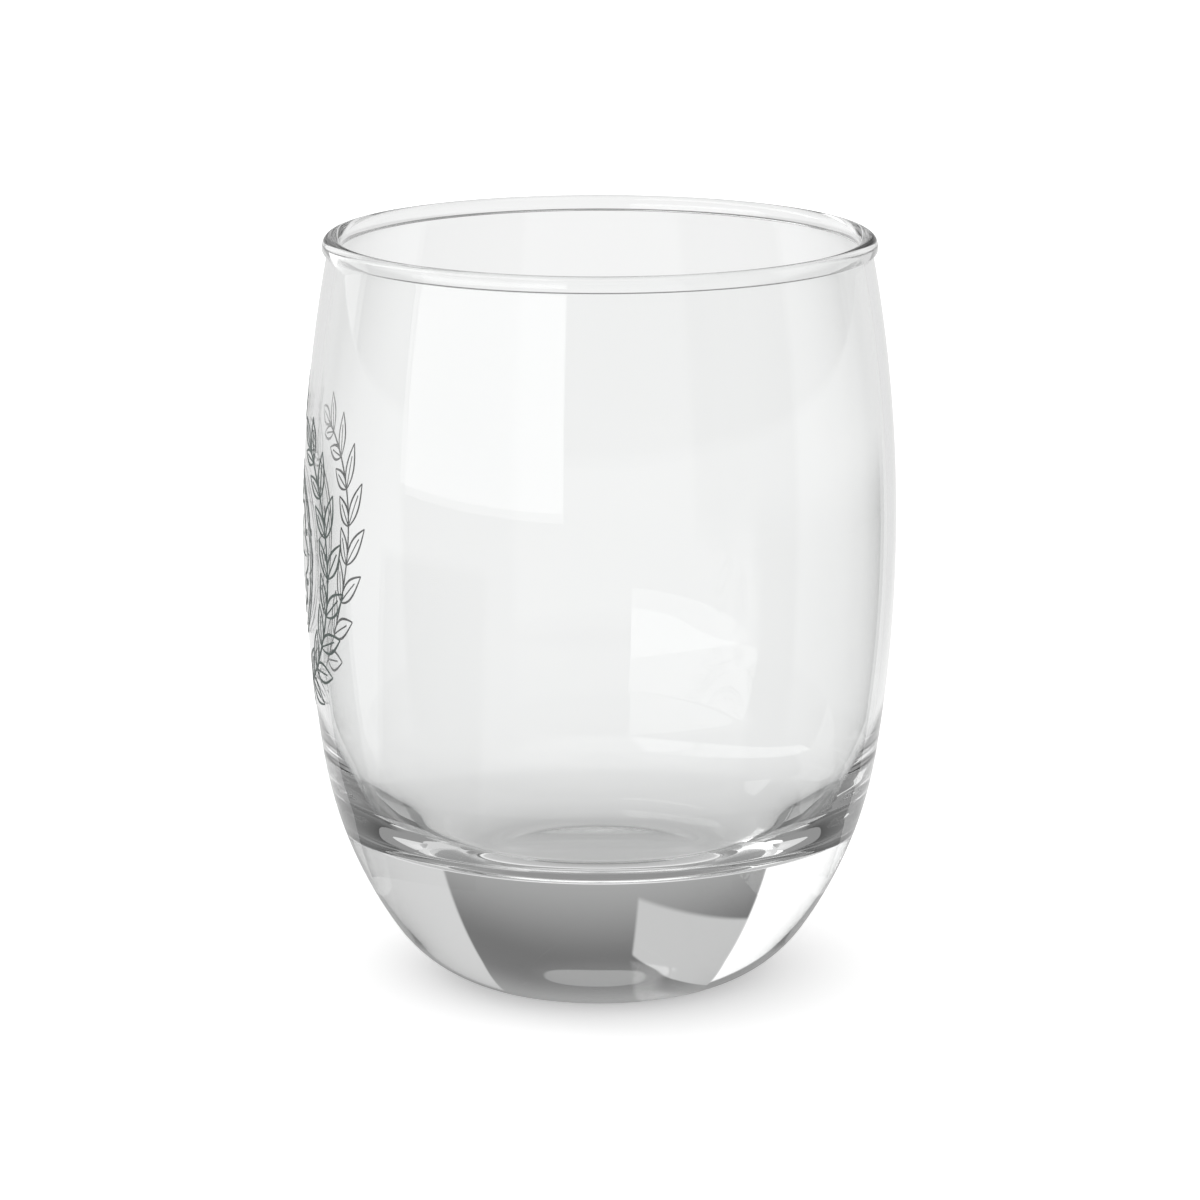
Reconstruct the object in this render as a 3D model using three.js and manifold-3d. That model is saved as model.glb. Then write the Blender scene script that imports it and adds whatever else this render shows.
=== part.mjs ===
// Whisky glass: a one-piece blown tumbler with a heavy base, printed with a thin-line wreath on its front.
// Millimetres, +Z up, origin at the centre of the foot. The print faces -Y.
import * as THREE from 'three';
import { mergeVertices } from 'three/addons/utils/BufferGeometryUtils.js';
import Module from 'manifold-3d';

const wasm = await Module();
wasm.setup();

// Outside of the glass: barrel, bowl and foot are three arcs that run into each other
const HEIGHT = 84.7;
const BODY_RADIUS = 33.5;
const WIDEST_Z = 51.3;
const BARREL_ARC = 167.8;
const BOWL_ARC = 47.4;
const BOWL_TOP_Z = 25.7;
const FOOT_ARC = 16.4;
const FOOT_RADIUS = 16.3;

// Underside: a shallow dome inside the flat ring the glass stands on
const RING_WIDTH = 3.8;
const DOME_DEPTH = 0.6;

// Rim: round on top, flush with the inside, a proud collar with a small edge and fillet outside
const RIM_WIDTH = 2.05;
const RIM_HEIGHT = 1.7;
const RIM_EDGE = 0.15;
const RIM_FILLET = 0.15;

// Drink space: a wall that thickens to the rim, a lower wall that bends in, a corner and a dished floor
const WALL = 1.1;
const WALL_DROP = 1.2;
const BEND_Z = 32.0;
const BEND_ARC = 36.0;
const CORNER_ARC = 9.2;
const FLOOR_ARC = 150.0;
const FLOOR_Z = 15.2;

// Print: film size, place on the glass and line widths
const FILM = 0.1;
const FILM_GAP = 0.06;
const PRINT_Z = 49.2;
const LINE = 0.32;
const FINE_LINE = 0.2;
const MOTIF_GAP = 1.4;

// Wreath of two laurel branches
const WREATH_RADIUS = 15.2;
const BRANCH_FROM = THREE.MathUtils.degToRad(-80);
const BRANCH_TO = THREE.MathUtils.degToRad(57);
const LEAF_PAIRS = 8;
const LEAF_LENGTH = 6.4;
const INNER_LEAF_SHARE = 0.84;
const TIP_LEAF_SHARE = 0.78;
const LEAF_SLIMNESS = 0.36;
const LEAF_SPREAD = THREE.MathUtils.degToRad(34);
const VEIN_SHARE = 0.72;

// Medallion inside the wreath
const PETALS = 8;
const PETAL_DEPTH = 0.24;
const DOT_RADIUS = 0.42;
const EYE_RADIUS = 0.9;

// Three-leaf sprigs over and under the wreath
const SPRIG_LENGTH = 5.6;
const SPRIG_SPREAD = THREE.MathUtils.degToRad(38);

// Fineness of the meshes
const TURN_STEPS = 52;
const STROKE_STEPS = 4;

const GLASS_COLOUR = 0xe3ebe8;
const INK_COLOUR = 0x4b5a55;

function circle(x, y, r) {
  return { x, y, r };
}

function angleTo(from, to) {
  return Math.atan2(to.y - from.y, to.x - from.x);
}

// Circle of radius r that touches the given one from inside at height y
function touchInside(c, y, r) {
  const angle = Math.asin((y - c.y) / c.r);
  return circle(c.x + (c.r - r) * Math.cos(angle), c.y + (c.r - r) * Math.sin(angle), r);
}

// Of the two points where circles cross, the one that scores higher
function crossing(a, b, score) {
  const apart = Math.hypot(b.x - a.x, b.y - a.y);
  const along = (a.r * a.r - b.r * b.r + apart * apart) / (2 * apart);
  const across = Math.sqrt(Math.max(a.r * a.r - along * along, 0));
  const ux = (b.x - a.x) / apart;
  const uy = (b.y - a.y) / apart;
  const points = [1, -1].map((s) => ({
    x: a.x + along * ux - s * across * uy,
    y: a.y + along * uy + s * across * ux,
  }));
  return score(points[0]) > score(points[1]) ? points[0] : points[1];
}

function arc(c, from, to, steps) {
  const points = [];
  for (let i = 0; i <= steps; i += 1) {
    const a = from + (to - from) * (i / steps);
    points.push(new THREE.Vector2(c.x + c.r * Math.cos(a), c.y + c.r * Math.sin(a)));
  }
  return points;
}

// Circles that the outside of the glass is made of
function outsideCircles() {
  const barrel = circle(BODY_RADIUS - BARREL_ARC, WIDEST_Z, BARREL_ARC);
  const bowl = touchInside(barrel, BOWL_TOP_Z, BOWL_ARC);
  const stand = circle(FOOT_RADIUS, 0, FOOT_ARC);
  const centre = crossing(circle(bowl.x, bowl.y, BOWL_ARC - FOOT_ARC), stand, (p) => p.x + p.y);
  const foot = circle(centre.x, centre.y, FOOT_ARC);
  return { barrel, bowl, foot };
}

// Circles of the rim's round top, of its proud edge and of the fillet under that
function rimCircles(barrel, wall) {
  const top = RIM_WIDTH / 2;
  const topZ = HEIGHT - top;
  const topX = wall.x + Math.sqrt((wall.r + top) ** 2 - (topZ - wall.y) ** 2);
  const underZ = HEIGHT - RIM_HEIGHT;
  const filletZ = underZ - RIM_FILLET;
  const filletX = barrel.x + Math.sqrt((barrel.r + RIM_FILLET) ** 2 - (filletZ - barrel.y) ** 2);
  return {
    top: circle(topX, topZ, top),
    edge: circle(topX + top - RIM_EDGE, underZ + RIM_EDGE, RIM_EDGE),
    fillet: circle(filletX, filletZ, RIM_FILLET),
  };
}

// Circles of the drink space below its straight wall
function cavityCircles(wall) {
  const bend = touchInside(wall, BEND_Z, BEND_ARC);
  const floor = circle(0, FLOOR_Z + FLOOR_ARC, FLOOR_ARC);
  const bendPath = circle(bend.x, bend.y, BEND_ARC - CORNER_ARC);
  const floorPath = circle(floor.x, floor.y, FLOOR_ARC - CORNER_ARC);
  const centre = crossing(bendPath, floorPath, (p) => p.x);
  return { bend, floor, corner: circle(centre.x, centre.y, CORNER_ARC) };
}

const OUTSIDE = outsideCircles();

function underside() {
  const domeRadius = FOOT_RADIUS - RING_WIDTH;
  const arcRadius = (domeRadius ** 2 + DOME_DEPTH ** 2) / (2 * DOME_DEPTH);
  const dome = circle(0, DOME_DEPTH - arcRadius, arcRadius);
  const edge = angleTo(dome, { x: domeRadius, y: 0 });
  return arc(dome, Math.PI / 2, edge, 4);
}

function outside(rim) {
  const { barrel, bowl, foot } = OUTSIDE;
  const footEnd = angleTo(bowl, foot);
  const bowlEnd = angleTo(barrel, bowl);
  const wallEnd = angleTo(barrel, rim.fillet);
  return [
    ...arc(foot, angleTo(foot, { x: FOOT_RADIUS, y: 0 }), footEnd, 5),
    ...arc(bowl, footEnd, bowlEnd, 6).slice(1),
    ...arc(barrel, bowlEnd, wallEnd, 8).slice(1),
  ];
}

function lip(wall, rim) {
  const { top, edge, fillet } = rim;
  const wallSide = angleTo(OUTSIDE.barrel, fillet) + Math.PI;
  return [
    ...arc(fillet, wallSide, Math.PI / 2, 3).slice(1),
    ...arc(edge, -Math.PI / 2, 0, 3),
    ...arc(top, 0, angleTo(wall, top) + Math.PI, 6),
  ];
}

function drinkSpace(wall, rim) {
  const { bend, floor, corner } = cavityCircles(wall);
  const bendStart = angleTo(wall, bend);
  const cornerStart = angleTo(bend, corner);
  const floorStart = angleTo(floor, corner);
  return [
    ...arc(wall, angleTo(wall, rim.top), bendStart, 7).slice(1),
    ...arc(bend, bendStart, cornerStart, 4).slice(1),
    ...arc(corner, cornerStart, floorStart, 6).slice(1),
    ...arc(floor, floorStart, -Math.PI / 2, 5).slice(1),
  ];
}

function glassProfile() {
  const { barrel } = OUTSIDE;
  const wall = circle(barrel.x, barrel.y - WALL_DROP, barrel.r - WALL);
  const rim = rimCircles(barrel, wall);
  const points = [...underside(), ...outside(rim), ...lip(wall, rim), ...drinkSpace(wall, rim)];
  points[0].x = 0;
  points[points.length - 1].x = 0;
  return points;
}

function glassBody() {
  const geometry = new THREE.LatheGeometry(glassProfile(), TURN_STEPS);
  geometry.rotateX(Math.PI / 2);
  return geometry;
}

// Outer radius of the glass at height z, as far as the print reaches
function outerRadius(z) {
  const { barrel, bowl } = OUTSIDE;
  const c = z > BOWL_TOP_Z ? barrel : bowl;
  return c.x + Math.sqrt(c.r ** 2 - (z - c.y) ** 2);
}

// Bar of ink along a flat line of points, as wide as widthAt says for each share of its length
function stroke(points, widthAt, closed = false) {
  const count = points.length;
  const places = [];
  const triangles = [];
  points.forEach((p, i) => {
    const before = points[closed ? (i + count - 1) % count : Math.max(i - 1, 0)];
    const after = points[closed ? (i + 1) % count : Math.min(i + 1, count - 1)];
    const side = new THREE.Vector2().subVectors(after, before).normalize();
    const half = widthAt(i / (count - 1)) / 2;
    const nx = -side.y * half;
    const ny = side.x * half;
    places.push(p.x - nx, p.y - ny, 0, p.x + nx, p.y + ny, 0);
    places.push(p.x + nx, p.y + ny, FILM, p.x - nx, p.y - ny, FILM);
  });
  const spans = closed ? count : count - 1;
  for (let i = 0; i < spans; i += 1) {
    const a = 4 * i;
    const b = 4 * ((i + 1) % count);
    for (let k = 0; k < 4; k += 1) {
      const n = (k + 1) % 4;
      triangles.push(a + k, a + n, b + n, a + k, b + n, b + k);
    }
  }
  if (!closed) {
    const e = 4 * (count - 1);
    triangles.push(0, 2, 1, 0, 3, 2, e, e + 1, e + 2, e, e + 2, e + 3);
  }
  const mesh = new wasm.Mesh({
    numProp: 3,
    vertProperties: new Float32Array(places),
    triVerts: new Uint32Array(triangles),
  });
  return new wasm.Manifold(mesh);
}

const evenLine = (width) => () => width;
const swellingLine = (width) => (share) => width * (0.55 + 0.45 * Math.sin(Math.PI * share));

function ring(radius, width, steps) {
  const points = [];
  for (let i = 0; i < steps; i += 1) {
    const a = (2 * Math.PI * i) / steps;
    points.push(new THREE.Vector2(radius * Math.cos(a), radius * Math.sin(a)));
  }
  return [stroke(points, evenLine(width), true)];
}

// Round dot: a bar across its own width
function dot(x, y, radius) {
  const points = [];
  const share = [];
  const steps = 2 * STROKE_STEPS;
  for (let i = 1; i < steps; i += 1) {
    const a = (Math.PI * i) / steps;
    points.push(new THREE.Vector2(x - radius * Math.cos(a), y));
    share.push(2 * radius * Math.sin(a));
  }
  return [stroke(points, (t) => share[Math.round(t * (share.length - 1))])];
}

// Outlined leaf with a vein, from its base along an angle
function leaf(base, angle, length) {
  const half = (length * LEAF_SLIMNESS) / 2;
  const along = new THREE.Vector2(Math.cos(angle), Math.sin(angle));
  const across = new THREE.Vector2(-along.y, along.x);
  const at = (t, w) => base.clone().addScaledVector(along, length * t).addScaledVector(across, w);
  const shares = Array.from({ length: STROKE_STEPS + 1 }, (_, i) => i / STROKE_STEPS);
  const edge = (s) => shares.map((t) => at(t, s * half * Math.sin(Math.PI * t ** 0.85)));
  const vein = [0, 0.5, 1].map((t) => at(t * VEIN_SHARE, 0));
  return [
    stroke(edge(1), swellingLine(LINE)),
    stroke(edge(-1), swellingLine(LINE)),
    stroke(vein, evenLine(FINE_LINE)),
  ];
}

// One branch of the wreath; hand is 1 for the right one and -1 for the left one
function branch(hand) {
  const pointAt = (a) => new THREE.Vector2(hand * WREATH_RADIUS * Math.cos(a), WREATH_RADIUS * Math.sin(a));
  const aim = (a) => (hand > 0 ? a : Math.PI - a);
  const stem = arc(circle(0, 0, WREATH_RADIUS), BRANCH_FROM, BRANCH_TO, 3 * LEAF_PAIRS);
  stem.forEach((p) => p.setX(hand * p.x));
  const parts = [stroke(stem, evenLine(LINE))];
  for (let i = 0; i < LEAF_PAIRS; i += 1) {
    const share = (i + 0.5) / LEAF_PAIRS;
    const a = BRANCH_FROM + (BRANCH_TO - BRANCH_FROM) * share;
    const length = LEAF_LENGTH * (1 - (1 - TIP_LEAF_SHARE) * share);
    const forward = a + Math.PI / 2;
    parts.push(...leaf(pointAt(a), aim(forward - LEAF_SPREAD), length));
    parts.push(...leaf(pointAt(a), aim(forward + LEAF_SPREAD), length * INNER_LEAF_SHARE));
  }
  parts.push(...leaf(pointAt(BRANCH_TO), aim(BRANCH_TO + Math.PI / 2), LEAF_LENGTH * TIP_LEAF_SHARE));
  return parts;
}

// Medallion radii, each set inside the one before it
const INNER_LEAF = LEAF_LENGTH * INNER_LEAF_SHARE;
const LEAF_REACH = INNER_LEAF * (Math.sin(LEAF_SPREAD) + LEAF_SLIMNESS / 2);
const RING_RADIUS = WREATH_RADIUS - LEAF_REACH - MOTIF_GAP;
const FINE_RING_RADIUS = RING_RADIUS - LINE - MOTIF_GAP / 3;
const ROSETTE_RADIUS = FINE_RING_RADIUS - MOTIF_GAP;
const DOT_PLACE = FINE_RING_RADIUS - MOTIF_GAP - DOT_RADIUS / 2;
const VEIN_RING = EYE_RADIUS + MOTIF_GAP / 2;
const VEIN_END = ROSETTE_RADIUS - MOTIF_GAP;

function rosette() {
  const steps = PETALS * 6;
  const points = [];
  for (let i = 0; i < steps; i += 1) {
    const a = (2 * Math.PI * i) / steps;
    const dip = PETAL_DEPTH * (1 - Math.abs(Math.cos((PETALS * a) / 2)));
    const r = ROSETTE_RADIUS * (1 - dip);
    points.push(new THREE.Vector2(r * Math.cos(a), r * Math.sin(a)));
  }
  return [stroke(points, evenLine(LINE), true)];
}

function rosetteVeins() {
  const parts = ring(VEIN_RING, FINE_LINE, 4 * PETALS);
  for (let i = 0; i < PETALS; i += 1) {
    const a = (2 * Math.PI * i) / PETALS;
    const line = [VEIN_RING, (VEIN_RING + VEIN_END) / 2, VEIN_END];
    parts.push(stroke(line.map((r) => new THREE.Vector2(r * Math.cos(a), r * Math.sin(a))), evenLine(FINE_LINE)));
  }
  return parts;
}

// Three leaves in the gap between the branches; up is 1 over the wreath and -1 under it
function sprig(up) {
  const base = new THREE.Vector2(0, up * (WREATH_RADIUS - MOTIF_GAP / 2));
  const turns = [-1, 0, 1];
  return turns.flatMap((t) => {
    const length = SPRIG_LENGTH * (t === 0 ? 1 : TIP_LEAF_SHARE);
    return leaf(base, up * (Math.PI / 2 + t * SPRIG_SPREAD), length);
  });
}

// Join flat ink pieces into one body and lay it round the glass
function printed(parts) {
  const joined = wasm.Manifold.union(parts);
  const mesh = joined.getMesh();
  const places = new Float32Array(mesh.numVert * 3);
  for (let i = 0; i < mesh.numVert; i += 1) {
    const [across, up, out] = mesh.vertProperties.slice(i * mesh.numProp, i * mesh.numProp + 3);
    const z = PRINT_Z + up;
    const angle = across / BODY_RADIUS;
    const r = outerRadius(z) + FILM_GAP + out;
    places.set([r * Math.sin(angle), -r * Math.cos(angle), z], 3 * i);
  }
  const geometry = new THREE.BufferGeometry();
  geometry.setAttribute('position', new THREE.BufferAttribute(places, 3));
  geometry.setIndex(Array.from(mesh.triVerts));
  return geometry;
}

function piece(name, geometry, colour, roughness) {
  geometry.deleteAttribute('uv');
  geometry.deleteAttribute('normal');
  const solid = mergeVertices(geometry, 1e-5);
  solid.computeVertexNormals();
  const mesh = new THREE.Mesh(solid, new THREE.MeshStandardMaterial({ color: colour, roughness }));
  mesh.name = name;
  return mesh;
}

const ink = (name, parts) => piece(name, printed(parts), INK_COLOUR, 0.6);

const glass = new THREE.Group();
glass.name = 'whisky_glass';
glass.add(piece('glass_body', glassBody(), GLASS_COLOUR, 0.02));
glass.add(ink('ink_ring', ring(RING_RADIUS, LINE, 48)));
glass.add(ink('ink_ring_fine', ring(FINE_RING_RADIUS, FINE_LINE, 48)));
glass.add(ink('ink_rosette', rosette()));
glass.add(ink('ink_rosette_veins', rosetteVeins()));
glass.add(ink('ink_rosette_eye', dot(0, 0, EYE_RADIUS)));
for (let i = 0; i < PETALS; i += 1) {
  const a = (2 * Math.PI * (i + 0.5)) / PETALS;
  const place = dot(DOT_PLACE * Math.cos(a), DOT_PLACE * Math.sin(a), DOT_RADIUS);
  glass.add(ink(`ink_dot_${i + 1}`, place));
}
glass.add(ink('ink_branch_right', branch(1)));
glass.add(ink('ink_branch_left', branch(-1)));
glass.add(ink('ink_sprig_top', sprig(1)));
glass.add(ink('ink_sprig_bottom', sprig(-1)));

export default glass;
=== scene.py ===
# Looks of the whisky glass: clear blown glass with a thin-line print, on a pale floor in soft studio light.
# Sizes are in millimetres and become metres in the meshes. The frame is the part's own: origin at the
# centre of the foot, +Z up, the print faces -Y, and the photo looks from the +X side.
import math

import bpy
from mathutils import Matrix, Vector
from mathutils.geometry import delaunay_2d_cdt


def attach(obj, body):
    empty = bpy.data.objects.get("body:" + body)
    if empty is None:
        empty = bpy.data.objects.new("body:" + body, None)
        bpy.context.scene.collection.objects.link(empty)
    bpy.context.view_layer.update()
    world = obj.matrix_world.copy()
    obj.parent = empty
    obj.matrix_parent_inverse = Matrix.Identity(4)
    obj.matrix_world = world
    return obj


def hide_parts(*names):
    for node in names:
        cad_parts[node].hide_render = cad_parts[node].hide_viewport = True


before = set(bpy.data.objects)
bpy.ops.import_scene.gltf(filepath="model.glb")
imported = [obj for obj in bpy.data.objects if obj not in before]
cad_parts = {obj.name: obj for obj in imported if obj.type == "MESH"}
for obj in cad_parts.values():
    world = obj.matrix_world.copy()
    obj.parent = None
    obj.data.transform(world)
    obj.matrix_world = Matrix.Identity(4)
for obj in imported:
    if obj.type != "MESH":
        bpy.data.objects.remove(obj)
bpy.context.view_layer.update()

MM = 0.001

# Outside of the glass: barrel, bowl and foot are three arcs that run into each other
HEIGHT = 84.7
BODY_RADIUS = 33.5
WIDEST_Z = 51.3
BARREL_ARC = 167.8
BOWL_ARC = 47.4
BOWL_TOP_Z = 25.7
FOOT_ARC = 16.4
FOOT_RADIUS = 16.3

# Underside: a shallow dome inside the flat ring the glass stands on
RING_WIDTH = 3.8
DOME_DEPTH = 0.6

# Rim: round on top, flush with the inside, a proud collar with a small edge and fillet outside
RIM_WIDTH = 2.05
RIM_HEIGHT = 1.7
RIM_EDGE = 0.15
RIM_FILLET = 0.15

# Drink space: a wall that thickens to the rim, a lower wall that bends in, a corner and a dished floor
WALL = 1.1
WALL_DROP = 1.2
BEND_Z = 32.0
BEND_ARC = 36.0
CORNER_ARC = 9.2
FLOOR_ARC = 150.0
FLOOR_Z = 15.2

# Print: film size, place on the glass and line widths; a swelling line is narrower at its ends
FILM = 0.03
FILM_GAP = 0.015
PRINT_Z = 49.2
LINE = 0.32
FINE_LINE = 0.2
LINE_END_SHARE = 0.55
MOTIF_GAP = 1.4

# Wreath of two laurel branches
WREATH_RADIUS = 15.2
BRANCH_FROM = math.radians(-80)
BRANCH_TO = math.radians(57)
LEAF_PAIRS = 8
LEAF_LENGTH = 6.4
INNER_LEAF_SHARE = 0.84
TIP_LEAF_SHARE = 0.78
LEAF_SLIMNESS = 0.36
LEAF_BULGE = 0.85
LEAF_SPREAD = math.radians(34)
VEIN_SHARE = 0.72

# Medallion inside the wreath
PETALS = 8
PETAL_DEPTH = 0.24
DOT_RADIUS = 0.42
EYE_RADIUS = 0.9

# Three-leaf sprigs over and under the wreath
SPRIG_LENGTH = 5.6
SPRIG_SPREAD = math.radians(38)

# Fineness of the meshes: longest steps along the section, and counts of steps
PROFILE_STEP = 0.45
WALL_STEP = 2 * PROFILE_STEP
LIP_STEP = PROFILE_STEP / 4
EDGE_STEP = LIP_STEP / 3
TURN_STEPS = 256
STROKE_STEPS = 14
RING_STEPS = 120
VEIN_RING_STEPS = 48
VEIN_STEPS = 4
PETAL_STEPS = 16
STEM_STEPS = 6
CARD_STEPS = 48

# Points closer together than this are one point, in the section and in the flat print
SAME_POINT = 1e-6
SAME_INK_POINT = 1e-5

# Glass: a faint green tint that goes between two colours, and a slight waviness
GLASS_INDEX = 1.33
TINTS = ((0.98, 0.985, 0.983), (0.99, 0.994, 0.992))
TINT_STOPS = (0.3, 0.7)
TINT_SCALE = 40.0
TINT_DETAIL = 3.0
WAVE_SCALE = 28.0
WAVE_DETAIL = 1.0
WAVE_STRENGTH = 0.02
WAVE_DEPTH = 0.5

# Ink: two depths of dark grey-green, an uneven gloss and a fine relief
INK_COLOURS = ((0.06, 0.078, 0.072), (0.11, 0.135, 0.126))
INK_STOPS = (0.35, 0.65)
INK_SCALE = 900.0
INK_DETAIL = 4.0
INK_ROUGHNESS = (0.38, 0.62)
RELIEF_STRENGTH = 0.15
RELIEF_DEPTH = 0.03

# Camera of the photo; the clip distances are in metres
CAMERA_DISTANCE = 600.0
CAMERA_DOWN = math.radians(12.66)
CAMERA_AIM_Z = 42.756
CAMERA_LENS = 158.61
SENSOR_WIDTH = 36.0
CLIP_FROM_TO = (0.01, 50.0)

# Table: its diffuse colour and the glow that lifts it, for the lens and as they are seen in the glass
FLOOR_HALF = 3000.0
FLOOR_DROP = 0.05
FLOOR_COLOUR = 0.8
FLOOR_LIFT = 0.475
IN_GLASS_COLOUR = 0.3
IN_GLASS_LIFT = 0.57

# In the glass the lift is weaker behind the glass to both sides, and close to the foot where it is
# mirrored: painted shade of the glass on the table, as the glass sees it
SIDE_SHADE_LIFT = 0.42
SIDE_SHADE_FROM_TO = (50.0, 120.0)
BEHIND_SHADE_FROM_TO = (-30.0, -110.0)
FOOT_SHADOW_SHARE = 0.5
FOOT_SHADOW_FROM_TO = (90.0, 60.0)

# Brightness of what the glass sees around it, where 1 is white. Bearings and heights are in degrees:
# the bearing is 0 straight behind the glass and grows to the right of the picture
ROOM = 1.12
SURROUND = 0.3
TOP_LIGHT = 1.3
TOP_FROM_TO = (58, 72)

# Backdrop and the two banks beside it; a fade is two heights and the levels there
BACKDROP_LEFT = -22
BACKDROP_RIGHT = 20
BACKDROP_FADE = (-2, 12, 0.42, 0.16)
BACKDROP_LIFT = (14, 34, 0.0, 0.18)
LEFT_BANK = 1.3
LEFT_BANK_END = -62
LEFT_BANK_TOP = (29, 31)
RIGHT_BANK = 0.68
RIGHT_BANK_END = 58
RIGHT_BANK_TOP = (34, 38)
BANK_SOFT = 0.4

# Pale panel on the backdrop: its low and high edge at the right, and how far each climbs to the left
PANEL = 0.58
PANEL_RIGHT = -4.3
PANEL_WIDE = 17.2
PANEL_LOW = 2.7
PANEL_LOW_CLIMB = 7.7
PANEL_HIGH = 10.5
PANEL_HIGH_CLIMB = 21.5
PANEL_SOFT = 0.4
PANEL_SIDE_SOFT = 0.25

# Oval lamp on the backdrop: half sizes, powers that make it an oval, and the sum of powers at its soft edge
LAMP = 0.33
LAMP_BEARING = 0.8
LAMP_HEIGHT = 17.4
LAMP_WIDE = 7.8
LAMP_TALL = 2.6
LAMP_POWERS = (3.0, 2.0)
LAMP_EDGE = (0.85, 1.15)

# Slanted strip overhead, as places on a level plane 1 above the glass; it fades in between the low heights,
# and directions flatter than the least rise count as that
LEAST_UP = 0.05
STRIP = 3.6
STRIP_SLANT = 0.6
STRIP_ACROSS = (0.05, 0.59)
STRIP_ACROSS_SOFT = 0.03
STRIP_ALONG = (-2.7, -0.2)
STRIP_ALONG_SOFT = 0.02
STRIP_LOW = (8, 12)

# Softbox at the front left: middle and half width as bearings, distance, and heights
SOFTBOX = 2.9
SOFTBOX_AT = (-133.5, 33)
SOFTBOX_AWAY = 420.0
SOFTBOX_LOW = 18.0
SOFTBOX_HIGH = 200.0

# Dark cards at both sides: they lie just off the table and bend up; glow at the back and at the front end
FLAG_LEFT_AT = (-80.5, 11.5)
FLAG_RIGHT_AT = (102, 33)
FLAG_BACK = 0.08
FLAG_LEFT_FRONT = 0.2
FLAG_RIGHT_FRONT = 0.4
FLAG_NEAR = 38.0
FLAG_FAR = 60.0
FLAG_HIGH = 60.0
FLAG_FADE = 12.0
CLOTH_AT = (-115, 23)
CLOTH_FAR = 300.0
CLOTH_FRONT = 0.4
CARD_LIFT = 1.0
CARD_EDGE = 1.0

LIGHT_BOUNCES = 64


def circle(x, y, r):
    return (x, y, r)


def angle_to(a, b):
    return math.atan2(b[1] - a[1], b[0] - a[0])


def touch_inside(c, y, r):
    """Circle of radius r that touches c from inside at height y."""
    a = math.asin((y - c[1]) / c[2])
    return circle(c[0] + (c[2] - r) * math.cos(a), c[1] + (c[2] - r) * math.sin(a), r)


def crossing(a, b, score):
    """Of the two points where circles cross, the one that scores higher."""
    apart = math.hypot(b[0] - a[0], b[1] - a[1])
    along = (a[2] ** 2 - b[2] ** 2 + apart ** 2) / (2 * apart)
    across = math.sqrt(max(a[2] ** 2 - along ** 2, 0))
    ux = (b[0] - a[0]) / apart
    uy = (b[1] - a[1]) / apart
    points = []
    for side in (across, -across):
        points.append((a[0] + along * ux - side * uy, a[1] + along * uy + side * ux))
    return max(points, key=score)


def arc(c, start, end, step=PROFILE_STEP):
    """Points along an arc, no further apart than step."""
    steps = max(4, math.ceil(abs(end - start) * c[2] / step))
    angles = [start + (end - start) * i / steps for i in range(steps + 1)]
    return [(c[0] + c[2] * math.cos(a), c[1] + c[2] * math.sin(a)) for a in angles]


def outside_circles():
    barrel = circle(BODY_RADIUS - BARREL_ARC, WIDEST_Z, BARREL_ARC)
    bowl = touch_inside(barrel, BOWL_TOP_Z, BOWL_ARC)
    inner = circle(bowl[0], bowl[1], BOWL_ARC - FOOT_ARC)
    centre = crossing(inner, circle(FOOT_RADIUS, 0, FOOT_ARC), sum)
    return barrel, bowl, circle(*centre, FOOT_ARC)


BARREL, BOWL, FOOT = outside_circles()


def rim_circles(wall):
    """Round top, outer edge and fillet of the rim on the inner wall's circle."""
    top = RIM_WIDTH / 2
    top_z = HEIGHT - top
    reach = wall[2] + top
    lip = circle(wall[0] + math.sqrt(reach ** 2 - (top_z - wall[1]) ** 2), top_z, top)
    under_z = HEIGHT - RIM_HEIGHT
    edge = circle(lip[0] + top - RIM_EDGE, under_z + RIM_EDGE, RIM_EDGE)
    fillet_z = under_z - RIM_FILLET
    off_wall = math.sqrt((BARREL[2] + RIM_FILLET) ** 2 - (fillet_z - BARREL[1]) ** 2)
    return lip, edge, circle(BARREL[0] + off_wall, fillet_z, RIM_FILLET)


def inside_circles():
    """Inner wall, its lower bend, the corner and the dished floor of the drink space."""
    wall = circle(BARREL[0], BARREL[1] - WALL_DROP, BARREL[2] - WALL)
    bend = touch_inside(wall, BEND_Z, BEND_ARC)
    floor = circle(0, FLOOR_Z + FLOOR_ARC, FLOOR_ARC)
    corner_path = circle(bend[0], bend[1], BEND_ARC - CORNER_ARC)
    floor_path = circle(floor[0], floor[1], FLOOR_ARC - CORNER_ARC)
    corner = circle(*crossing(corner_path, floor_path, lambda p: p[0]), CORNER_ARC)
    return wall, bend, corner, floor


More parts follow.
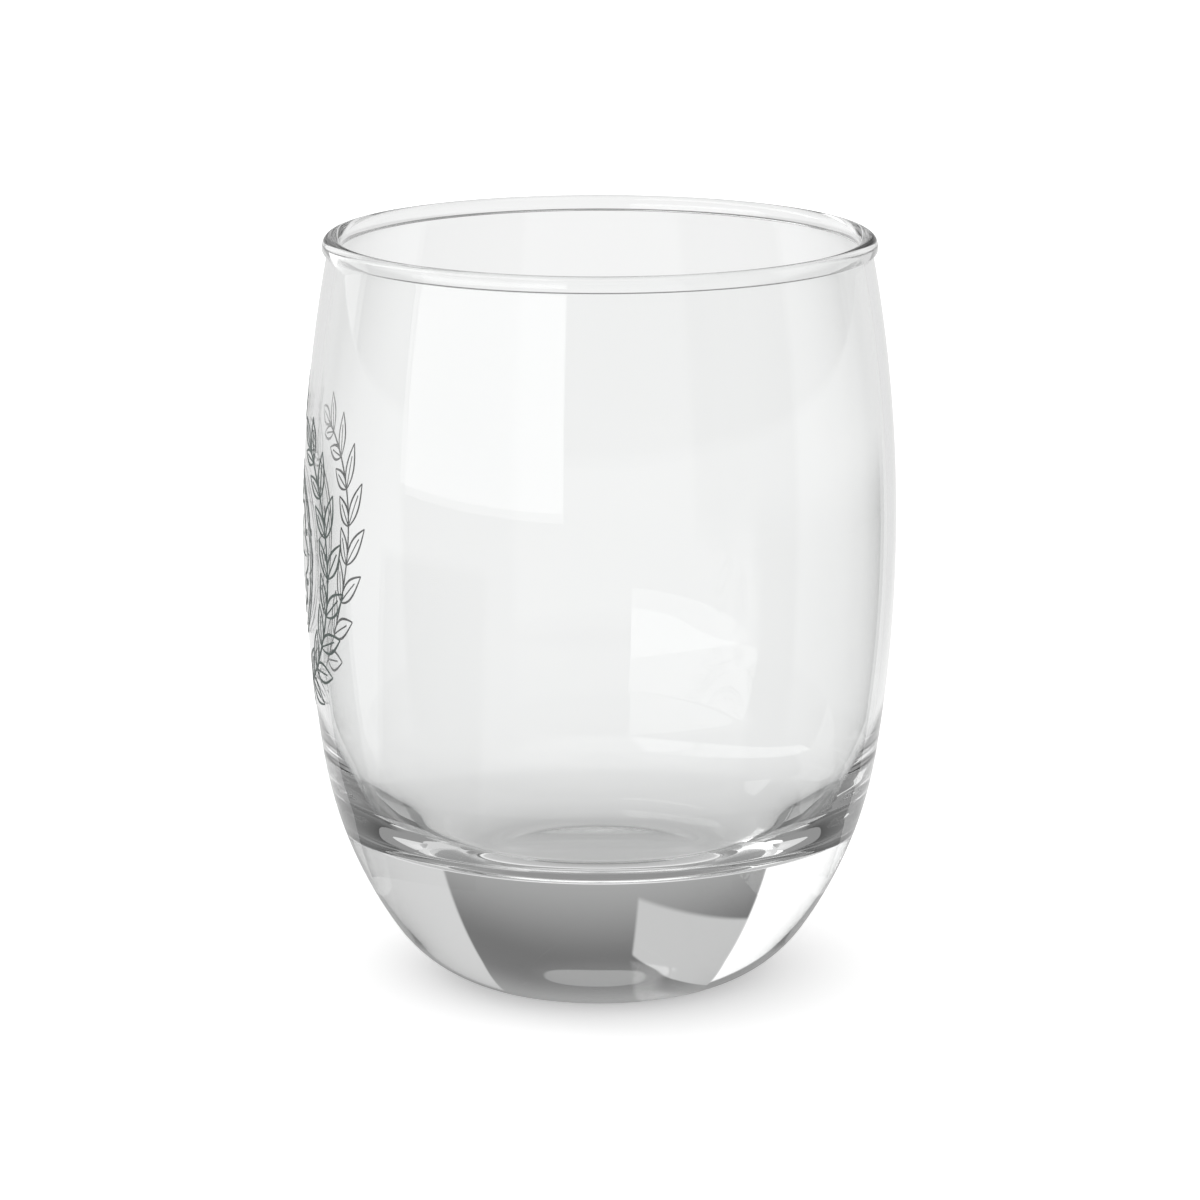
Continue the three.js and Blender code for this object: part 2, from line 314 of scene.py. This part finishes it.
def glass_profile():
    """Half section from the middle of the underside, up the outside, over the rim and down to the floor."""
    wall, bend, corner, floor = inside_circles()
    lip, edge, fillet = rim_circles(wall)
    dome_radius = FOOT_RADIUS - RING_WIDTH
    dome_arc = (dome_radius ** 2 + DOME_DEPTH ** 2) / (2 * DOME_DEPTH)
    dome = circle(0, DOME_DEPTH - dome_arc, dome_arc)
    runs = [
        arc(dome, math.pi / 2, angle_to(dome, (dome_radius, 0))),
        arc(FOOT, angle_to(FOOT, (FOOT_RADIUS, 0)), angle_to(BOWL, FOOT)),
        arc(BOWL, angle_to(BOWL, FOOT), angle_to(BARREL, BOWL)),
        arc(BARREL, angle_to(BARREL, BOWL), angle_to(BARREL, fillet), WALL_STEP),
        arc(fillet, angle_to(BARREL, fillet) + math.pi, math.pi / 2, EDGE_STEP),
        arc(edge, -math.pi / 2, 0, EDGE_STEP),
        arc(lip, 0, angle_to(wall, lip) + math.pi, LIP_STEP),
        arc(wall, angle_to(wall, lip), angle_to(wall, bend), WALL_STEP),
        arc(bend, angle_to(wall, bend), angle_to(bend, corner)),
        arc(corner, angle_to(bend, corner), angle_to(floor, corner)),
        arc(floor, angle_to(floor, corner), -math.pi / 2),
    ]
    points = [runs[0][0]]
    for run in runs:
        for p in run:
            if math.dist(p, points[-1]) > SAME_POINT:
                points.append(p)
    return points


def new_piece(name, verts, faces, smooth=True):
    mesh = bpy.data.meshes.new(name)
    mesh.from_pydata(verts, [], faces)
    mesh.update()
    mesh.polygons.foreach_set("use_smooth", [smooth] * len(mesh.polygons))
    obj = bpy.data.objects.new(name, mesh)
    bpy.context.scene.collection.objects.link(obj)
    return obj


def turned(name, profile):
    """Body of revolution; the profile starts and ends on the axis."""
    angles = [2 * math.pi * k / TURN_STEPS for k in range(TURN_STEPS)]
    turns = [(math.cos(a), math.sin(a)) for a in angles]
    verts = [(0, 0, profile[0][1] * MM)]
    for r, z in profile[1:-1]:
        verts += [(r * c * MM, r * s * MM, z * MM) for c, s in turns]
    top = len(verts)
    verts.append((0, 0, profile[-1][1] * MM))
    faces = []
    rings = len(profile) - 2
    last = 1 + (rings - 1) * TURN_STEPS
    for k in range(TURN_STEPS):
        n = (k + 1) % TURN_STEPS
        faces.append((0, 1 + n, 1 + k))
        for a in range(1, last, TURN_STEPS):
            b = a + TURN_STEPS
            faces.append((a + k, a + n, b + n, b + k))
        faces.append((last + k, last + n, top))
    return new_piece(name, verts, faces)


def outer_radius(z):
    c = BARREL if z > BOWL_TOP_Z else BOWL
    return c[0] + math.sqrt(c[2] ** 2 - (z - c[1]) ** 2)


def on_glass(across, up, out):
    """Place on the glass, in metres, of a point of the flat print."""
    z = PRINT_Z + up
    r = outer_radius(z) + FILM_GAP + out
    a = across / BODY_RADIUS
    return (r * math.sin(a) * MM, -r * math.cos(a) * MM, z * MM)


def stroke(points, width_at, closed=False):
    """Four-sided cells of a line of ink along points."""
    count = len(points)
    edges = []
    for i, p in enumerate(points):
        before = points[(i - 1) % count if closed else max(i - 1, 0)]
        after = points[(i + 1) % count if closed else min(i + 1, count - 1)]
        length = math.dist(before, after)
        half = width_at(i / (count - 1)) / 2
        nx = -(after[1] - before[1]) / length * half
        ny = (after[0] - before[0]) / length * half
        edges.append(((p[0] - nx, p[1] - ny), (p[0] + nx, p[1] + ny)))
    spans = count if closed else count - 1
    cells = []
    for i in range(spans):
        (a, b), (c, d) = edges[i], edges[(i + 1) % count]
        cells.append((a, c, d, b))
    return cells


def even_line(width):
    return lambda share: width


def swelling_line(width):
    return lambda share: width * (LINE_END_SHARE + (1 - LINE_END_SHARE) * math.sin(math.pi * share))


def ring(radius, width, steps=RING_STEPS):
    angles = [2 * math.pi * i / steps for i in range(steps)]
    return stroke([(radius * math.cos(a), radius * math.sin(a)) for a in angles], even_line(width), True)


def dot(x, y, radius):
    """Round spot, as a line of ink across it that is as wide as the circle is there."""
    steps = 2 * STROKE_STEPS
    angles = [math.pi * i / steps for i in range(1, steps)]
    widths = [2 * radius * math.sin(a) for a in angles]
    points = [(x - radius * math.cos(a), y) for a in angles]
    return stroke(points, lambda share: widths[round(share * (len(widths) - 1))])


def leaf(base, angle, length):
    """Outlined leaf with a vein, from its base along an angle."""
    half = length * LEAF_SLIMNESS / 2
    ux, uy = math.cos(angle), math.sin(angle)

    def at(share, side):
        return (base[0] + length * share * ux - side * uy, base[1] + length * share * uy + side * ux)
    shares = [i / STROKE_STEPS for i in range(STROKE_STEPS + 1)]
    cells = []
    for s in (1, -1):
        edge = [at(t, s * half * math.sin(math.pi * t ** LEAF_BULGE)) for t in shares]
        cells += stroke(edge, swelling_line(LINE))
    vein = [at(i / VEIN_STEPS * VEIN_SHARE, 0) for i in range(VEIN_STEPS + 1)]
    return cells + stroke(vein, even_line(FINE_LINE))


def branch(hand):
    """One branch of the wreath; hand is 1 for the right one and -1 for the left one."""
    def place(a):
        return (hand * WREATH_RADIUS * math.cos(a), WREATH_RADIUS * math.sin(a))

    def aim(a):
        return a if hand > 0 else math.pi - a
    steps = STEM_STEPS * LEAF_PAIRS
    stem = [place(BRANCH_FROM + (BRANCH_TO - BRANCH_FROM) * i / steps) for i in range(steps + 1)]
    cells = stroke(stem, even_line(LINE))
    for i in range(LEAF_PAIRS):
        share = (i + 0.5) / LEAF_PAIRS
        a = BRANCH_FROM + (BRANCH_TO - BRANCH_FROM) * share
        length = LEAF_LENGTH * (1 - (1 - TIP_LEAF_SHARE) * share)
        forward = a + math.pi / 2
        cells += leaf(place(a), aim(forward - LEAF_SPREAD), length)
        cells += leaf(place(a), aim(forward + LEAF_SPREAD), length * INNER_LEAF_SHARE)
    return cells + leaf(place(BRANCH_TO), aim(BRANCH_TO + math.pi / 2), LEAF_LENGTH * TIP_LEAF_SHARE)


# Medallion radii, each set inside the one before it
LEAF_REACH = LEAF_LENGTH * INNER_LEAF_SHARE * (math.sin(LEAF_SPREAD) + LEAF_SLIMNESS / 2)
RING_RADIUS = WREATH_RADIUS - LEAF_REACH - MOTIF_GAP
FINE_RING_RADIUS = RING_RADIUS - LINE - MOTIF_GAP / 3
ROSETTE_RADIUS = FINE_RING_RADIUS - MOTIF_GAP
DOT_PLACE = FINE_RING_RADIUS - MOTIF_GAP - DOT_RADIUS / 2
VEIN_RING = EYE_RADIUS + MOTIF_GAP / 2
VEIN_END = ROSETTE_RADIUS - MOTIF_GAP


def rosette():
    steps = PETALS * PETAL_STEPS
    points = []
    for i in range(steps):
        a = 2 * math.pi * i / steps
        r = ROSETTE_RADIUS * (1 - PETAL_DEPTH * (1 - abs(math.cos(PETALS * a / 2))))
        points.append((r * math.cos(a), r * math.sin(a)))
    return stroke(points, even_line(LINE), True)


def rosette_veins():
    cells = ring(VEIN_RING, FINE_LINE, VEIN_RING_STEPS)
    for i in range(PETALS):
        a = 2 * math.pi * i / PETALS
        radii = [VEIN_RING + (VEIN_END - VEIN_RING) * k / VEIN_STEPS for k in range(VEIN_STEPS + 1)]
        cells += stroke([(r * math.cos(a), r * math.sin(a)) for r in radii], even_line(FINE_LINE))
    return cells


def sprig(up):
    """Three leaves in the gap between the branches; up is 1 over the wreath and -1 under it."""
    base = (0, up * (WREATH_RADIUS - MOTIF_GAP / 2))
    cells = []
    for t in (-1, 0, 1):
        length = SPRIG_LENGTH * (1 if t == 0 else TIP_LEAF_SHARE)
        cells += leaf(base, up * (math.pi / 2 + t * SPRIG_SPREAD), length)
    return cells


def open_sides(tris):
    """Sides that only one triangle has, in the direction that triangle goes."""
    sides = {}
    for t in tris:
        for a, b in zip(t, t[1:] + t[:1]):
            if sides.pop((b, a), None) is None:
                sides[(a, b)] = True
    return list(sides)


def printed(name, cells):
    """Joins flat cells of ink into one outline and lays it round the glass as a thin closed film."""
    flat = [Vector(p) for cell in cells for p in cell]
    squares = [list(range(4 * i, 4 * i + 4)) for i in range(len(cells))]
    points, _, tris, _, _, made_from = delaunay_2d_cdt(flat, [], squares, 0, SAME_INK_POINT)
    inside = [t for t, source in zip(tris, made_from) if source]
    used = sorted({i for t in inside for i in t})
    number = {v: k for k, v in enumerate(used)}
    inside = [tuple(number[i] for i in t) for t in inside]
    n = len(used)
    verts = [on_glass(*points[i], 0) for i in used] + [on_glass(*points[i], FILM) for i in used]
    faces = [tuple(reversed(t)) for t in inside] + [tuple(i + n for i in t) for t in inside]
    faces += [(a, b, b + n, a + n) for a, b in open_sides(inside)]
    return new_piece(name, verts, faces, False)


def print_pieces():
    """Ink cells by the name of the part they stand for."""
    cells = {
        "ink_ring": ring(RING_RADIUS, LINE),
        "ink_ring_fine": ring(FINE_RING_RADIUS, FINE_LINE),
        "ink_rosette": rosette(),
        "ink_rosette_veins": rosette_veins(),
        "ink_rosette_eye": dot(0, 0, EYE_RADIUS),
        "ink_branch_right": branch(1),
        "ink_branch_left": branch(-1),
        "ink_sprig_top": sprig(1),
        "ink_sprig_bottom": sprig(-1),
    }
    for i in range(PETALS):
        a = 2 * math.pi * (i + 0.5) / PETALS
        cells[f"ink_dot_{i + 1}"] = dot(DOT_PLACE * math.cos(a), DOT_PLACE * math.sin(a), DOT_RADIUS)
    return cells


class Graph:
    """Short ways to add nodes to the tree of a material or of the world."""

    def __init__(self, tree):
        self.nodes = tree.nodes
        self.links = tree.links

    def fill(self, socket, value):
        """Sets a number on a socket, or links another socket to it."""
        if isinstance(value, (int, float)):
            socket.default_value = value
        else:
            self.links.new(value, socket)

    def calc(self, operation, *values):
        node = self.nodes.new("ShaderNodeMath")
        node.operation = operation
        for socket, value in zip(node.inputs, values):
            self.fill(socket, value)
        return node.outputs["Value"]

    def product(self, first, *others):
        for value in others:
            first = self.calc("MULTIPLY", first, value)
        return first

    def change(self, value, start, end, low, high, shape="LINEAR"):
        """Change from low to high as the value goes from start to end, and no further."""
        node = self.nodes.new("ShaderNodeMapRange")
        node.interpolation_type = shape
        keys = ("Value", "From Min", "From Max", "To Min", "To Max")
        for key, number in zip(keys, (value, start, end, low, high)):
            self.fill(node.inputs[key], number)
        return node.outputs["Result"]

    def blend(self, share, low, high):
        return self.change(share, 0, 1, low, high)

    def rise(self, value, start, end, low=0, high=1):
        return self.change(value, start, end, low, high, "SMOOTHSTEP")

    def fall(self, value, start, end):
        return self.rise(value, start, end, 1, 0)

    def between(self, value, low, high, soft):
        """1 from low to high and 0 outside, with soft edges."""
        after = self.rise(value, low - soft, low + soft)
        before = self.fall(value, high - soft, high + soft)
        return self.calc("MULTIPLY", after, before)

    def place(self, kind="Object"):
        return self.nodes.new("ShaderNodeTexCoord").outputs[kind]

    def split(self, vector):
        node = self.nodes.new("ShaderNodeSeparateXYZ")
        self.links.new(vector, node.inputs["Vector"])
        return node.outputs["X"], node.outputs["Y"], node.outputs["Z"]

    def length(self, vector):
        node = self.nodes.new("ShaderNodeVectorMath")
        node.operation = "LENGTH"
        self.links.new(vector, node.inputs[0])
        return node.outputs["Value"]

    def path(self, key):
        """What kind of light path asks, or how often it has been mirrored."""
        return self.nodes.new("ShaderNodeLightPath").outputs[key]

    def noise(self, scale, detail):
        node = self.nodes.new("ShaderNodeTexNoise")
        node.inputs["Scale"].default_value = scale
        node.inputs["Detail"].default_value = detail
        self.links.new(self.place(), node.inputs["Vector"])
        return node.outputs["Fac"]

    def colours(self, source, stops, pair):
        """Goes from one colour of the pair to the other between the stops."""
        node = self.nodes.new("ShaderNodeValToRGB")
        for element, stop, colour in zip(node.color_ramp.elements, stops, pair):
            element.position = stop
            element.color = (*colour, 1)
        self.links.new(source, node.inputs["Fac"])
        return node.outputs["Color"]

    def bump(self, height, strength, depth):
        node = self.nodes.new("ShaderNodeBump")
        node.inputs["Strength"].default_value = strength
        node.inputs["Distance"].default_value = depth * MM
        self.links.new(height, node.inputs["Height"])
        return node.outputs["Normal"]


def new_material(name):
    """New material, its graph and the sockets of its shader."""
    material = bpy.data.materials.new(name)
    material.use_nodes = True
    graph = Graph(material.node_tree)
    return material, graph, graph.nodes["Principled BSDF"].inputs


def glass_material():
    """Clear glass: faint green tint that varies a little, and a very slight waviness."""
    material, graph, shader = new_material("clear_glass")
    shader["Transmission Weight"].default_value = 1.0
    shader["IOR"].default_value = GLASS_INDEX
    shader["Roughness"].default_value = 0.0
    tint = graph.colours(graph.noise(TINT_SCALE, TINT_DETAIL), TINT_STOPS, TINTS)
    waves = graph.noise(WAVE_SCALE, WAVE_DETAIL)
    graph.links.new(tint, shader["Base Color"])
    graph.links.new(graph.bump(waves, WAVE_STRENGTH, WAVE_DEPTH), shader["Normal"])
    return material


def ink_material():
    """Fired print ink: dark grey-green, a little uneven in depth and gloss."""
    material, graph, shader = new_material("print_ink")
    patches = graph.noise(INK_SCALE, INK_DETAIL)
    graph.links.new(graph.colours(patches, INK_STOPS, INK_COLOURS), shader["Base Color"])
    graph.links.new(graph.blend(patches, *INK_ROUGHNESS), shader["Roughness"])
    graph.links.new(graph.bump(patches, RELIEF_STRENGTH, RELIEF_DEPTH), shader["Normal"])
    return material


def make_glass():
    body = turned("glass", glass_profile())
    body.data.materials.append(glass_material())
    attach(body, "root")
    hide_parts("glass_body")
    ink = ink_material()
    for node, cells in print_pieces().items():
        piece = printed(node.replace("ink", "print"), cells)
        piece.data.materials.append(ink)
        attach(piece, "root")
        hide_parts(node)


def in_metres(lengths):
    return [length * MM for length in lengths]


def shaded_in_glass_lift(graph):
    """Lift of the table as it is seen in the glass, with painted shade of the glass behind it to both sides
    and a painted shadow near its foot in reflections.
    """
    place = graph.place()
    x, y, _ = graph.split(place)
    aside = graph.rise(graph.calc("ABSOLUTE", y), *in_metres(SIDE_SHADE_FROM_TO))
    behind = graph.rise(x, *in_metres(BEHIND_SHADE_FROM_TO))
    lift = graph.blend(graph.product(aside, behind), IN_GLASS_LIFT, SIDE_SHADE_LIFT)
    return graph.product(lift, foot_shadow_share(graph, place))


def foot_shadow_share(graph, place):
    """What is left of the lift close to the foot, where it is seen by reflection inside the glass: a
    painted shadow of the glass on the table.
    """
    near = graph.rise(graph.length(place), *in_metres(FOOT_SHADOW_FROM_TO))
    mirrored = graph.calc("MINIMUM", graph.path("Glossy Depth"), 1)
    # Painted shadow: the glow of the table drops near the foot in reflections
    return graph.blend(graph.product(near, mirrored), 1, FOOT_SHADOW_SHARE)


def make_floor():
    """Pale table that keeps the shadow: lifted to white for the lens, and darker in the glass, where
    painted shade of the glass lies behind it and near its foot.
    """
    half = FLOOR_HALF * MM
    corners = [(-half, -half, 0), (half, -half, 0), (half, half, 0), (-half, half, 0)]
    floor = new_piece("floor", corners, [(0, 1, 2, 3)])
    floor.location.z = -FLOOR_DROP * MM
    material, graph, shader = new_material("pale_floor")
    shader["Roughness"].default_value = 1.0
    shader["Specular IOR Level"].default_value = 0.0
    shader["Emission Color"].default_value = (1, 1, 1, 1)
    lens = graph.path("Is Camera Ray")
    graph.links.new(graph.blend(lens, IN_GLASS_COLOUR, FLOOR_COLOUR), shader["Base Color"])
    # The lift in the glass carries painted shade of the glass on the table, behind it and near its foot
    graph.links.new(graph.blend(lens, shaded_in_glass_lift(graph), FLOOR_LIFT), shader["Emission Strength"])
    floor.data.materials.append(material)


def make_card(name, at, section, levels, fade=0, once=False):
    """Curved card round the glass that only shows in reflections.

    At is the bearing of its middle and its half width, and the section is a list of distances and
    heights. The levels are its glow at the back and front end, and the glow fades out below the top
    over the given height. With once, only first reflections show it.
    """
    middle, spread = at
    verts = []
    for i in range(CARD_STEPS + 1):
        a = math.radians(middle + spread * (2 * i / CARD_STEPS - 1))
        verts += [(-d * math.cos(a) * MM, d * math.sin(a) * MM, z * MM) for d, z in section]
    ends = (min(v[0] for v in verts), max(v[0] for v in verts))
    high = section[-1][1]
    tops = in_metres((high - fade, high + CARD_EDGE))
    card = new_piece(name, verts, card_faces(len(section)))
    card.data.materials.append(card_material(name, ends, levels, tops, once))
    card.visible_camera = False
    card.visible_diffuse = False
    card.visible_shadow = False


def card_faces(rows):
    corners = ((0, 0), (1, 0), (1, 1), (0, 1))
    faces = []
    for i in range(CARD_STEPS):
        for k in range(rows - 1):
            faces.append(tuple(rows * (i + u) + k + v for u, v in corners))
    return faces


def card_material(name, ends, levels, tops, once):
    """Glow that goes from one level to the other between the ends, and clear where it isn't shown."""
    material, graph, _ = new_material(name)
    nodes, links = graph.nodes, graph.links
    nodes.remove(nodes["Principled BSDF"])
    x, _, z = graph.split(graph.place())
    glow = nodes.new("ShaderNodeEmission")
    links.new(graph.change(x, *ends, *levels), glow.inputs["Strength"])
    clear = nodes.new("ShaderNodeBsdfTransparent")
    depth = graph.path("Glossy Depth")
    mirrored = graph.calc("COMPARE", depth, 1, 0.5) if once else graph.calc("GREATER_THAN", depth, 0.5)
    mix = nodes.new("ShaderNodeMixShader")
    links.new(graph.rise(z, *tops, mirrored, 0), mix.inputs["Fac"])
    links.new(clear.outputs["BSDF"], mix.inputs[1])
    links.new(glow.outputs["Emission"], mix.inputs[2])
    links.new(mix.outputs["Shader"], nodes["Material Output"].inputs["Surface"])
    return material


def make_cards():
    """One softbox at the front left, and dark cards at both sides that lie on the table and bend up."""
    box = [(SOFTBOX_AWAY, SOFTBOX_LOW), (SOFTBOX_AWAY, SOFTBOX_HIGH)]
    bent = [(FLAG_NEAR, CARD_LIFT), (FLAG_FAR, CARD_LIFT), (FLAG_FAR, FLAG_HIGH)]
    flat = [(FLAG_NEAR, CARD_LIFT), (CLOTH_FAR, CARD_LIFT)]
    make_card("softbox", SOFTBOX_AT, box, (SOFTBOX, SOFTBOX), once=True)
    make_card("flag_left", FLAG_LEFT_AT, bent, (FLAG_BACK, FLAG_LEFT_FRONT), FLAG_FADE)
    make_card("flag_right", FLAG_RIGHT_AT, bent, (FLAG_BACK, FLAG_RIGHT_FRONT), FLAG_FADE)
    make_card("cloth_left", CLOTH_AT, flat, (FLAG_LEFT_FRONT, CLOTH_FRONT))


class Sky(Graph):
    """Brightness of the studio by direction."""

    def __init__(self, tree, level):
        super().__init__(tree)
        x, y, z = self.split(self.place("Generated"))
        back = self.calc("MULTIPLY", x, -1)
        self.bearing = self.calc("DEGREES", self.calc("ARCTAN2", y, back))
        self.height = self.calc("DEGREES", self.calc("ARCSINE", z))
        up = self.calc("MAXIMUM", z, LEAST_UP)
        self.near = self.calc("DIVIDE", x, up)
        self.right = self.calc("DIVIDE", y, up)
        self.level = level

    def lay(self, mask, level):
        """Puts a level, a number or a socket, over what is there where the mask is 1."""
        step = self.calc("MULTIPLY", self.calc("SUBTRACT", level, self.level), mask)
        self.level = self.calc("ADD", self.level, step)


def lay_backdrop(sky):
    level = sky.calc("ADD", sky.rise(sky.height, *BACKDROP_FADE), sky.rise(sky.height, *BACKDROP_LIFT))
    sky.lay(sky.between(sky.bearing, BACKDROP_LEFT, BACKDROP_RIGHT, BANK_SOFT), level)


def lay_panel(sky):
    share = sky.calc("DIVIDE", sky.calc("SUBTRACT", PANEL_RIGHT, sky.bearing), PANEL_WIDE)
    from_low = sky.calc("SUBTRACT", sky.height, sky.calc("MULTIPLY", share, PANEL_LOW_CLIMB))
    from_high = sky.calc("SUBTRACT", sky.height, sky.calc("MULTIPLY", share, PANEL_HIGH_CLIMB))
    over = sky.rise(from_low, PANEL_LOW - PANEL_SOFT, PANEL_LOW + PANEL_SOFT)
    under = sky.fall(from_high, PANEL_HIGH - PANEL_SOFT, PANEL_HIGH + PANEL_SOFT)
    across = sky.between(sky.bearing, BACKDROP_LEFT, PANEL_RIGHT, PANEL_SIDE_SOFT)
    sky.lay(sky.product(over, under, across), PANEL)


def lay_bank(sky, start, end, top, level):
    across = sky.between(sky.bearing, start, end, BANK_SOFT)
    sky.lay(sky.product(across, sky.fall(sky.height, *top)), level)


def lay_lamp(sky):
    across = sky.calc("DIVIDE", sky.calc("SUBTRACT", sky.bearing, LAMP_BEARING), LAMP_WIDE)
    along = sky.calc("DIVIDE", sky.calc("SUBTRACT", sky.height, LAMP_HEIGHT), LAMP_TALL)
    powers = [sky.calc("POWER", sky.calc("ABSOLUTE", v), p) for v, p in zip((across, along), LAMP_POWERS)]
    sky.lay(sky.fall(sky.calc("ADD", *powers), *LAMP_EDGE), LAMP)


def lay_strip(sky):
    """Strip overhead, which only what is mirrored less than twice shows."""
    slant = sky.calc("SUBTRACT", sky.near, sky.calc("MULTIPLY", sky.right, STRIP_SLANT))
    across = sky.between(slant, *STRIP_ACROSS, STRIP_ACROSS_SOFT)
    along = sky.between(sky.right, *STRIP_ALONG, STRIP_ALONG_SOFT)
    above = sky.rise(sky.height, *STRIP_LOW)
    shown = sky.calc("LESS_THAN", sky.path("Glossy Depth"), 1.5)
    sky.lay(sky.product(across, along, above, shown), STRIP)


def make_world():
    """What the glass sees around it by direction; the lens sees white, and the table gets even light."""
    world = bpy.data.worlds.new("studio")
    bpy.context.scene.world = world
    world.use_nodes = True
    sky = Sky(world.node_tree, SURROUND)
    sky.lay(sky.rise(sky.height, *TOP_FROM_TO), TOP_LIGHT)
    lay_backdrop(sky)
    lay_panel(sky)
    lay_bank(sky, LEFT_BANK_END, BACKDROP_LEFT, LEFT_BANK_TOP, LEFT_BANK)
    lay_bank(sky, BACKDROP_RIGHT, RIGHT_BANK_END, RIGHT_BANK_TOP, RIGHT_BANK)
    lay_lamp(sky)
    lay_strip(sky)
    sky.lay(sky.path("Is Camera Ray"), 1)
    sky.lay(sky.path("Is Diffuse Ray"), ROOM)
    background = sky.nodes["Background"].inputs
    background["Color"].default_value = (1, 1, 1, 1)
    sky.links.new(sky.level, background["Strength"])


def make_camera():
    camera = bpy.data.cameras.new("camera")
    camera.lens = CAMERA_LENS
    camera.sensor_width = SENSOR_WIDTH
    camera.clip_start, camera.clip_end = CLIP_FROM_TO
    obj = bpy.data.objects.new("camera", camera)
    bpy.context.scene.collection.objects.link(obj)
    out = CAMERA_DISTANCE * math.cos(CAMERA_DOWN) * MM
    up = (CAMERA_AIM_Z + CAMERA_DISTANCE * math.sin(CAMERA_DOWN)) * MM
    obj.location = (out, 0, up)
    obj.rotation_euler = (math.pi / 2 - CAMERA_DOWN, 0, math.pi / 2)
    bpy.context.scene.camera = obj


def set_view_and_bounces():
    """Plain view of the colours, and bounces enough for light that stays long inside the rim."""
    scene = bpy.context.scene
    scene.view_settings.view_transform = "Standard"
    scene.cycles.max_bounces = LIGHT_BOUNCES
    scene.cycles.transmission_bounces = LIGHT_BOUNCES
    scene.cycles.glossy_bounces = LIGHT_BOUNCES
    scene.cycles.caustics_refractive = False
    scene.cycles.caustics_reflective = False


make_glass()
make_floor()
make_world()
make_cards()
make_camera()
set_view_and_bounces()
